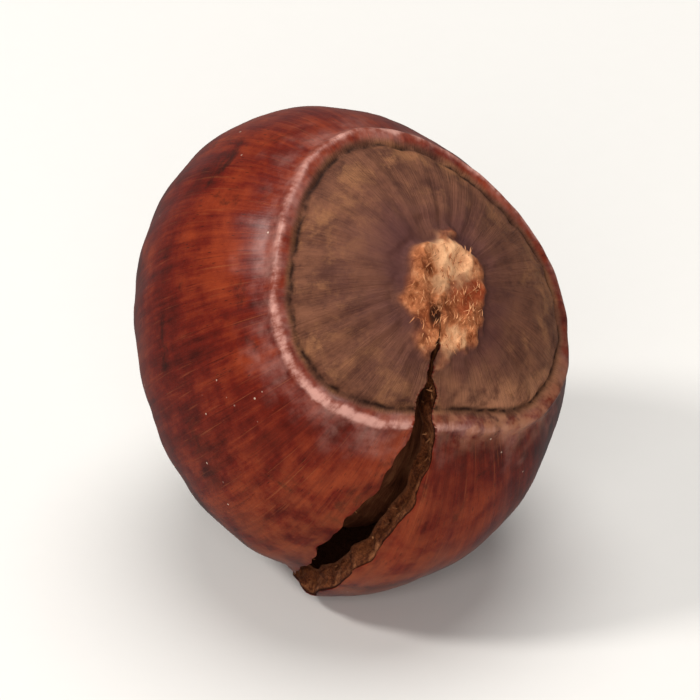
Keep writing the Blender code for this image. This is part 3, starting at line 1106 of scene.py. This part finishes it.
@dataclass
class Shell:
    """The split shell: outer skin, lining and the two broken edges, as one closed mesh."""

    form: NutForm = NutForm()
    scar: ScarRelief = ScarRelief()
    side: BodyRelief = BodyRelief()
    finish: ShellFinish = ShellFinish()
    columns: int = 300
    lining_columns: int = 50
    wall_steps: int = 12
    slide_end: float = 95 * DEG
    close_start: float = 4 * DEG
    close_end: float = 6 * DEG
    fine_splinter: float = 0.05 * MM
    fine_splinters: float = 26
    least_arm: float = 0.12
    fracture: float = 0.13 * MM
    ledge: float = 0.18 * MM
    chips: float = 0.06 * MM
    lining_relief: float = 0.05 * MM
    crack_depth: float = 0.10 * MM
    least_gap: float = 0.002
    free_gap: float = 0.5 * MM
    sharp: float = 55 * DEG
    noise: Noise = Noise(37)

    def rows(self) -> Array:
        """Space the rows down the shell, closest together on the scar and across its lip.

        Returns:
            The angle down of each row.
        """
        edge = self.scar.edge
        runs = ((0, edge - 5 * DEG, 66), (edge - 4.6 * DEG, edge + 6 * DEG, 34))
        runs += ((edge + 6.6 * DEG, 132 * DEG, 92), (133.5 * DEG, math.pi, 44))
        return np.concatenate([np.linspace(*run) for run in runs])

    def slide(self, down: Array, around: Array) -> Array:
        """Return the rows moved to run along the scar's uneven edge where they are near it."""
        near = smooth_rise(0, self.scar.edge, down) * smooth_rise(self.slide_end, self.scar.edge, down)
        return down + near * (self.scar.edge_at(around) - self.scar.edge)

    def edges(self, down: Array) -> tuple[Array, Array]:
        """Work out the split's edges with fine splinters, closed to a hairline at both ends.

        Each of the form's edges gets its own noise, and its distance from the split's middle line is
        multiplied by a smooth rise and fall. Divided by the arm there, a distance is an angle.

        Args:
            down: Angles down the shell.

        Returns:
            The angles about the axis of the left and the right edge.
        """
        left, right = self.form.split_edges(down)
        spread = smooth_rise(self.form.split_start, self.form.split_start + self.close_start, down)
        spread = spread * smooth_rise(self.form.split_end, self.form.split_end - self.close_end, down)
        spread = np.where(spread < self.least_gap, 0.0, spread)
        spot = np.stack([down, 0 * down, 0 * down], axis=-1)
        left = left + self.fine_splinter * self.noise.layered(spot + 3.0, self.fine_splinters)
        right = right + self.fine_splinter * self.noise.layered(spot + 9.0, self.fine_splinters)
        middle = (left + right) / 2
        arm = self.form.radius * np.maximum(np.sin(down), self.least_arm)
        return (middle + (left - middle) * spread) / arm, (middle + (right - middle) * spread) / arm

    def outer_surface(self, down: Array, around: Array) -> Array:
        """Work out the outer radius with all its relief: the form plus the scar's and the side's.

        Args:
            down: Angles down the shell.
            around: Angles about the axis.

        Returns:
            The distance of each point from the nut's middle.
        """
        grain = grain_at(down, around)
        relief = self.scar.height(down, around, grain) + self.side.height(down, around, grain)
        return self.form.outer(down, around) + relief

    def lining_surface(self, down: Array, around: Array) -> Array:
        """Return the inner radius with low fibres of drawn out noise, which fade at both poles."""
        fibres = self.noise.veins(grain_at(down, around), 9, 4)
        return self.form.inner(down, around) + self.lining_relief * np.sin(down) * fibres

    def crack(self, down: Array) -> Array:
        """Grade the hairline crack that carries on past each end of the split.

        Args:
            down: Angles down the shell.

        Returns:
            1 just past each end, falling to 0 where the crack dies out.
        """
        past_end = smooth_rise(151 * DEG, 136 * DEG, down) * (down > self.form.split_end - 4 * DEG)
        past_start = smooth_rise(4 * DEG, 8 * DEG, down) * (down < self.form.split_start + 2 * DEG)
        return past_end + past_start

    def skin(self, columns: int) -> tuple[Array, Array]:
        """Spread a grid over the shell from the split's right edge round to its left edge.

        Args:
            columns: How many faces go round.

        Returns:
            The angles down and around of the grid's points.
        """
        rows = self.rows()
        left, right = self.edges(self.slide(rows, 0 * rows))
        share = np.linspace(0, 1, columns + 1)
        around = right[:, None] + (2 * math.pi + left - right)[:, None] * share
        around = np.where(around > math.pi, around - 2 * math.pi, around)
        return self.slide(rows[:, None] + 0 * around, around), around

    def outer_patch(self) -> Patch:
        """Build the outer skin, whose seam is sunk along the hairline cracks and painted near black as
        shade.

        Returns:
            The grid, with every zone but the depth in the wall.
        """
        down, around = self.skin(self.columns)
        seam = np.zeros_like(down)
        seam[:, [0, -1]] = 1.0
        crack = seam * self.crack(down)
        values = self.scar.masks(down, around)
        # The hairline cracks take the pit's near black: painted shade for the dark of an open crack.
        values[Zone.PIT] = np.maximum(values[Zone.PIT], crack)
        uneven = down + 6 * DEG * self.noise.layered(point_at(down, around), 6)
        values[Zone.TIP] = smooth_rise(158 * DEG, 172 * DEG, uneven)
        values[Zone.SMOKE] = smooth_rise(118 * DEG, 162 * DEG, uneven + 6 * DEG * np.cos(2 * around))
        values[Zone.WARM] = bell(around, 0, 34 * DEG) * bell(down, 88 * DEG, 30 * DEG)
        points = point_at(down, around, self.outer_surface(down, around) - self.crack_depth * crack)
        return Patch(points, grain_at(down, around), values)

    def lining_patch(self) -> Patch:
        """Build the lining.

        Returns:
            The grid, at full depth in the wall.
        """
        down, around = self.skin(self.lining_columns)
        points = point_at(down, around, self.lining_surface(down, around))
        return Patch(points, grain_at(down, around), {Zone.DEPTH: 1.0 + 0 * down})

    def fracture_at(self, line: Array, side: int, depth: Array) -> Array:
        """Work out how far a broken edge is cut back from the gap.

        Noise makes it rough, and fades at both skins by the root of a half sine. A ledge of uneven
        width steps back inside the wall.

        Args:
            line: Angles down the edge, by row and step.
            side: 0 for the right edge and 1 for the left.
            depth: The share of the wall at each step.

        Returns:
            A distance for each row and step.
        """
        spot = np.stack([line * 16, 0 * line + side * 7, depth * 2.5 + 0 * line], axis=-1)
        fade = np.clip(np.sin(math.pi * depth), 0, 1) ** 0.5
        fine = self.noise.at(spot * np.array([2.6, 1.0, 2.2]) + 11.0, 1.0)
        rough = (self.fracture * self.noise.layered(spot, 1.0, 2) + self.chips * fine) * fade
        step = smooth_rise(0.25, 0.42, depth) * smooth_rise(1.0, 0.75, depth)
        uneven = 0.4 + self.noise.layered(spot * np.array([1.0, 1.0, 0.0]) + 4.0, 0.6)
        return rough + self.ledge * uneven * step

    def wall_patches(self) -> list[Patch]:
        """Build the two broken edges: straight from the outer skin to the lining, plus the fracture.

        Where the gap is narrow, the fracture shrinks with it, so that the two edges never cross.

        Returns:
            The right and the left edge.
        """
        down, around = self.skin(1)
        left, right = self.edges(down[:, 0])
        gap = (right - left) * self.form.radius * np.sin(down[:, 0])
        reach = np.flatnonzero(gap > EMPTY)
        rows = slice(reach[0] - 1, reach[-1] + 2)
        room = np.clip(gap[rows] / self.free_gap, 0, 1)[:, None]
        depth = np.linspace(0, 1, self.wall_steps + 1)
        patches = []
        for side, away in ((0, 1.0), (1, -1.0)):
            line = down[rows, side][:, None] + 0 * depth
            turn = around[rows, side][:, None] + 0 * depth
            outer = self.outer_surface(line, turn) - self.crack_depth * self.crack(line)
            radius = outer + (self.lining_surface(line, turn) - outer) * depth
            shift = away * self.fracture_at(line, side, depth) * room / self.form.radius
            points = point_at(line, turn + shift, radius)
            patches.append(Patch(points, grain_at(line, turn), {Zone.DEPTH: depth + 0 * line}))
        return patches

    def build(self, placing: Placing) -> bpy.types.Object:
        """Join the skins and edges, lay the shell down, flatten it where it rests, and dress it.

        Args:
            placing: Where the nut lies.

        Returns:
            The piece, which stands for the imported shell.
        """
        patches = [self.outer_patch(), self.lining_patch(), *self.wall_patches()]
        for patch in patches:
            patch.points = placing.lay(patch.points)
            patch.points[..., 2] = np.maximum(patch.points[..., 2], FLOOR)
        piece = make_mesh("split_shell", patches, self.sharp)
        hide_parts("shell")
        return dress_piece(piece, self.finish.make())


@dataclass
class Kernel:
    """The wrinkled kernel that lies loose inside the shell."""

    finish: KernelFinish = KernelFinish()
    radius: float = 7.25 * MM
    stretch: float = 0.03
    point: float = 0.55 * MM
    point_spread: float = 20 * DEG
    wrinkle_depth: float = 0.16 * MM
    wrinkles: int = 9
    fine_depth: float = 0.10 * MM
    sink: tuple[float, float, float] = (0.30 * MM, -0.60 * MM, -0.95 * MM)
    rows: int = 130
    columns: int = 180
    sharp: float = 60 * DEG
    noise: Noise = Noise(53)

    def surface(self, down: Array, around: Array) -> Array:
        """Work out the radius.

        It is a ball stretched by a cosine of twice down, with a bell for its blunt point. Furrows are
        a cosine of around that bends with down, cut flat on top. Fine ridges are folded noise.

        Args:
            down: Angles down the kernel.
            around: Angles about the axis.

        Returns:
            The distance of each point from the kernel's middle.
        """
        ball = self.radius * (1 + self.stretch * np.cos(2 * down))
        point = self.point * bell(down, math.pi, self.point_spread)
        waves = np.cos(self.wrinkles * around + 1.2 * np.sin(3 * down) + np.sin(2 * around))
        furrows = self.wrinkle_depth * np.sin(down) * np.minimum(waves, 0.4)
        ridges = 1 - 2 * np.abs(self.noise.veins(grain_at(down, around), 5, 2.5))
        return ball + point + furrows + self.fine_depth * np.sin(down) * (ridges - 0.4)

    def build(self, placing: Placing) -> bpy.types.Object:
        """Build the kernel where its solid lies, and dress it.

        Args:
            placing: Where the nut lies.

        Returns:
            The piece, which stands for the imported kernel.
        """
        rows = np.linspace(0, math.pi, self.rows + 1)
        down, around = np.meshgrid(rows, np.linspace(0, 2 * math.pi, self.columns + 1), indexing="ij")
        around[:, -1] = 0
        points = placing.lay(point_at(down, around, self.surface(down, around))) + np.array(self.sink)
        piece = make_mesh("loose_kernel", [Patch(points, grain_at(down, around))], self.sharp)
        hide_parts("kernel")
        return dress_piece(piece, self.finish.make())


@dataclass
class Strands:
    """Thin tapered strands that grow from the shell: a round section carried along a bent line."""

    name: str
    finish: StrandFinish
    roots: Array
    directions: Array
    normals: Array
    lengths: Array
    widths: Array
    rise: Array
    bend: Array
    root_depth: float = 0.04 * MM
    stations: int = 5
    sides: int = 4

    def points(self) -> Array:
        """Sweep each strand.

        Each centre line leaves its root along the direction, rises along the normal by the share of
        its length to the power 1.5, and bends sideways by the square of that share. Its root is sunk.
        Its section is a ring whose radius falls nearly to nothing at the end.

        Returns:
            Points by strand, station and side.
        """
        share = np.linspace(0, 1, self.stations)[None, :, None]
        sideways = np.cross(self.normals, self.directions)
        line = self.roots[:, None] + self.directions[:, None] * self.lengths[:, None, None] * share
        sunk = self.root_depth * (1 - share) ** 4
        line = line + self.normals[:, None] * (self.rise[:, None, None] * share**1.5 - sunk)
        line = line + sideways[:, None] * self.bend[:, None, None] * share**2
        angle = np.linspace(0, 2 * math.pi, self.sides, endpoint=False)[:, None]
        taper = self.widths[:, None] * (1 - 0.92 * share[..., 0] ** 1.5)
        ring = np.cos(angle) * sideways[:, None, None] + np.sin(angle) * self.normals[:, None, None]
        return line[:, :, None] + taper[:, :, None, None] * ring

    def build(self, placing: Placing) -> bpy.types.Object:
        """Make the strands' mesh, each closed at both ends, lay it down with the nut, and dress it.

        Args:
            placing: Where the nut lies.

        Returns:
            The piece.
        """
        points = self.points()
        number = np.arange(points[..., 0].size).reshape(-1, self.stations, self.sides)
        after = np.roll(number, -1, axis=2)
        corners = (number[:, :-1], after[:, :-1], after[:, 1:], number[:, 1:])
        quads = np.stack(corners, axis=-1).reshape(-1, 4).tolist()
        caps = number[:, 0, ::-1].tolist() + number[:, -1].tolist()
        mesh = bpy.data.meshes.new(self.name)
        mesh.from_pydata(placing.lay(points.reshape(-1, 3)).tolist(), [], quads + caps)
        close_up(mesh, weld=False)
        return dress_piece(link(self.name, mesh), self.finish.make())


@dataclass
class ShellHairs:
    """Chooses where strands stand on the shell: pith fibres, tip down and splinters at the split."""

    shell: Shell
    pith: StrandFinish = StrandFinish("pith_strands", (0.40, 0.130, 0.050), (0.78, 0.380, 0.180))
    down: StrandFinish = StrandFinish("tip_hairs", (0.16, 0.095, 0.060), (0.44, 0.33, 0.24), 0.5)
    wood: StrandFinish = StrandFinish("edge_wood", (0.10, 0.032, 0.013), (0.30, 0.125, 0.052))
    seed: int = 71
    slope_step: float = 0.5 * DEG
    pith_cover: float = 0.86
    tip_spread: float = 6.5
    split_reach: tuple[float, float] = (24, 112)
    inset: float = 0.05 * MM

    def frame_at(self, down: Array, around: Array) -> tuple[Array, Array, Array, Array]:
        """Find where strands stand, from the slope of the form between nearby points.

        Args:
            down: Angles down the shell.
            around: Angles about the axis.

        Returns:
            The surface point, its outward direction, and the ways down and around it.
        """
        form = self.shell.form
        near, far = down - self.slope_step, down + self.slope_step
        slope = point_at(far, around, form.outer(far, around))
        slope = slope - point_at(near, around, form.outer(near, around))
        way_down = slope / np.linalg.norm(slope, axis=-1, keepdims=True)
        way_around = np.stack([-np.sin(around), np.cos(around), 0 * around], axis=-1)
        point = point_at(down, around, self.shell.outer_surface(down, around))
        return point, np.cross(way_down, way_around), way_down, way_around

    def pith_fibres(self, count: int = 420) -> Strands:
        """Lay fine fibres close over the pith spot, mostly along it and spread evenly over its ellipse.

        Args:
            count: How many.

        Returns:
            The strands.
        """
        draw = np.random.default_rng(self.seed)
        scar = self.shell.scar
        reach = np.sqrt(draw.uniform(0, 1, count)) * self.pith_cover
        turn = draw.uniform(0, 2 * math.pi, count)
        along = scar.pith_middle[0] + reach * np.cos(turn) * scar.pith_length
        across = scar.pith_middle[1] + reach * np.sin(turn) * scar.pith_width
        down = np.arcsin(np.hypot(along, across) / self.shell.form.radius)
        around = np.arctan2(across, along)
        point, outward, way_down, way_around = self.frame_at(down, around)
        heading = draw.normal(0, 0.5, count) + math.pi * draw.integers(0, 2, count) - around
        way = np.cos(heading)[:, None] * way_down + np.sin(heading)[:, None] * way_around
        return Strands(
            "pith_fibres", self.pith, point, way, outward,
            lengths=draw.uniform(0.15, 0.45, count) * MM,
            widths=draw.uniform(0.014, 0.034, count) * MM,
            rise=draw.uniform(-0.06, 0.03, count) * MM,
            bend=draw.normal(0, 0.07, count) * MM,
        )

    def tip_down(self, count: int = 800) -> Strands:
        """Scatter short fine down round the tip, combed towards it and thinning out by a bell.

        Args:
            count: How many hairs.

        Returns:
            The strands.
        """
        draw = np.random.default_rng(self.seed + 1)
        down = math.pi - np.abs(draw.normal(0, self.tip_spread, count)) * DEG - 1.0 * DEG
        around = draw.uniform(-math.pi, math.pi, count)
        point, outward, way_down, way_around = self.frame_at(down, around)
        heading = draw.normal(0, 0.45, count)
        way = np.cos(heading)[:, None] * way_down + np.sin(heading)[:, None] * way_around
        return Strands(
            "tip_down", self.down, point, way, outward,
            lengths=draw.uniform(0.15, 0.45, count) * MM,
            widths=draw.uniform(0.006, 0.012, count) * MM,
            rise=draw.uniform(0.02, 0.10, count) * MM,
            bend=draw.normal(0, 0.08, count) * MM,
            sides=3,
        )

    def splinters(self, count: int = 64) -> Strands:
        """Stand small splinters on both edges of the split, at any depth and leaning into the gap.

        Args:
            count: How many.

        Returns:
            The strands.
        """
        draw = np.random.default_rng(self.seed + 2)
        down = draw.uniform(*self.split_reach, count) * DEG
        left, right = self.shell.edges(down)
        on_left = draw.integers(0, 2, count).astype(bool)
        inset = self.inset / self.shell.form.radius
        around = np.where(on_left, left - inset, right + inset)
        point, outward, way_down, way_around = self.frame_at(down, around)
        point = point - outward * (draw.uniform(0.10, 0.95, count) * self.shell.form.wall)[:, None]
        heading = draw.normal(0, 0.9, count)
        towards = np.where(on_left, 1.0, -1.0)[:, None]
        way = np.sin(heading)[:, None] * way_down + np.cos(heading)[:, None] * towards * way_around
        return Strands(
            "edge_splinters", self.wood, point, way, outward,
            lengths=draw.uniform(0.12, 0.38, count) * MM,
            widths=draw.uniform(0.025, 0.075, count) * MM,
            rise=draw.normal(0, 0.05, count) * MM,
            bend=draw.normal(0, 0.05, count) * MM,
        )


@dataclass(frozen=True)
class Lamp:
    """A round soft light that points at the nut."""

    name: str
    place: tuple[float, float, float]
    size: float
    power: float
    tint: Colour
    in_gloss: bool = True

    def hang(self, aim: Vector) -> None:
        """Hang the lamp.

        Args:
            aim: The point that it faces.
        """
        light = bpy.data.lights.new(self.name, "AREA")
        light.shape = "DISK"
        light.size = self.size
        light.energy = self.power
        light.color = self.tint
        lamp = link(self.name, light)
        lamp.location = self.place
        lamp.rotation_euler = (aim - lamp.location).to_track_quat("-Z", "Y").to_euler()
        lamp.visible_glossy = self.in_gloss


@dataclass(frozen=True)
class Studio:
    """The plain pale floor, the soft lamps in a pale room, and the camera."""

    floor_half: float = 1.2
    floor_gap: float = 0.01 * MM
    floor_colour: Colour = (0.80, 0.79, 0.77)
    floor_speckle: Clouds = Clouds(0.8, 2.0, 0.55)
    camera_rise: float = 32 * DEG
    camera_distance: float = 0.30
    lens: float = 350.0
    aim_height: float = 0.0096
    lamps: tuple[Lamp, ...] = (
        Lamp("overhead", (0.02, 0.12, 0.42), 0.36, 1.38, (1.0, 0.98, 0.95)),
        Lamp("key", (-0.30, -0.06, 0.31), 0.09, 0.88, (1.0, 0.97, 0.93)),
        Lamp("front", (-0.06, -0.46, 0.20), 0.40, 1.58, (1.0, 0.98, 0.96), in_gloss=False),
    )
    sky: float = 0.17
    sky_colour: Colour = (1.0, 0.99, 0.97)

    def floor(self) -> None:
        """Lay a floor just under the nut, which the gloss doesn't mirror."""
        board = Board("studio_floor")
        speckle = self.floor_speckle.on(board)
        shade = board.mix(speckle, self.floor_colour, tuple(0.985 * part for part in self.floor_colour))
        half, level = self.floor_half, FLOOR - self.floor_gap
        corners = [(-half, -half, level), (half, -half, level), (half, half, level), (-half, half, level)]
        mesh = bpy.data.meshes.new("floor")
        mesh.from_pydata(corners, [], [(0, 1, 2, 3)])
        mesh.materials.append(board.finish(shade, 0.75, speckle, 0.002 * MM))
        floor = link("floor", mesh)
        floor.visible_glossy = False

    def lights(self) -> None:
        """Hang the lamps, pointed at the middle of the nut, and tint the room."""
        for lamp in self.lamps:
            lamp.hang(Vector((0, 0, self.aim_height)))
        world = bpy.data.worlds.new("room")
        world.use_nodes = True
        backdrop = world.node_tree.nodes["Background"].inputs
        backdrop["Color"].default_value = (*self.sky_colour, 1.0)
        backdrop["Strength"].default_value = self.sky
        bpy.context.scene.world = world

    def camera(self) -> None:
        """Stand the camera in front of the nut at the photograph's height of view."""
        lens = bpy.data.cameras.new("camera")
        lens.lens = self.lens
        lens.clip_start, lens.clip_end = 0.01, 10.0
        camera = link("camera", lens)
        back = Vector((0, -math.cos(self.camera_rise), math.sin(self.camera_rise)))
        camera.location = Vector((0, 0, self.aim_height)) + back * self.camera_distance
        camera.rotation_euler = (-back).to_track_quat("-Z", "Y").to_euler()
        bpy.context.scene.camera = camera

    def build(self) -> None:
        """Set up the floor, lights and camera."""
        self.floor()
        self.lights()
        self.camera()
        bpy.context.scene.view_settings.view_transform = "Standard"


def main() -> None:
    """Build the studio and the nut piece by piece."""
    logging.basicConfig(level=logging.INFO, format="%(name)s %(message)s")
    Studio().build()
    shell = Shell()
    down, around = shell.skin(columns=240)
    surface = point_at(down, around, shell.outer_surface(down, around))
    placing = Placing.from_form(shell.form, surface)
    hairs = ShellHairs(shell)
    for part in (shell, Kernel(), hairs.pith_fibres(), hairs.tip_down(), hairs.splinters()):
        piece = part.build(placing)
        LOG.info("%s: %d faces", piece.name, len(piece.data.polygons))


if __name__ == "__main__":
    main()
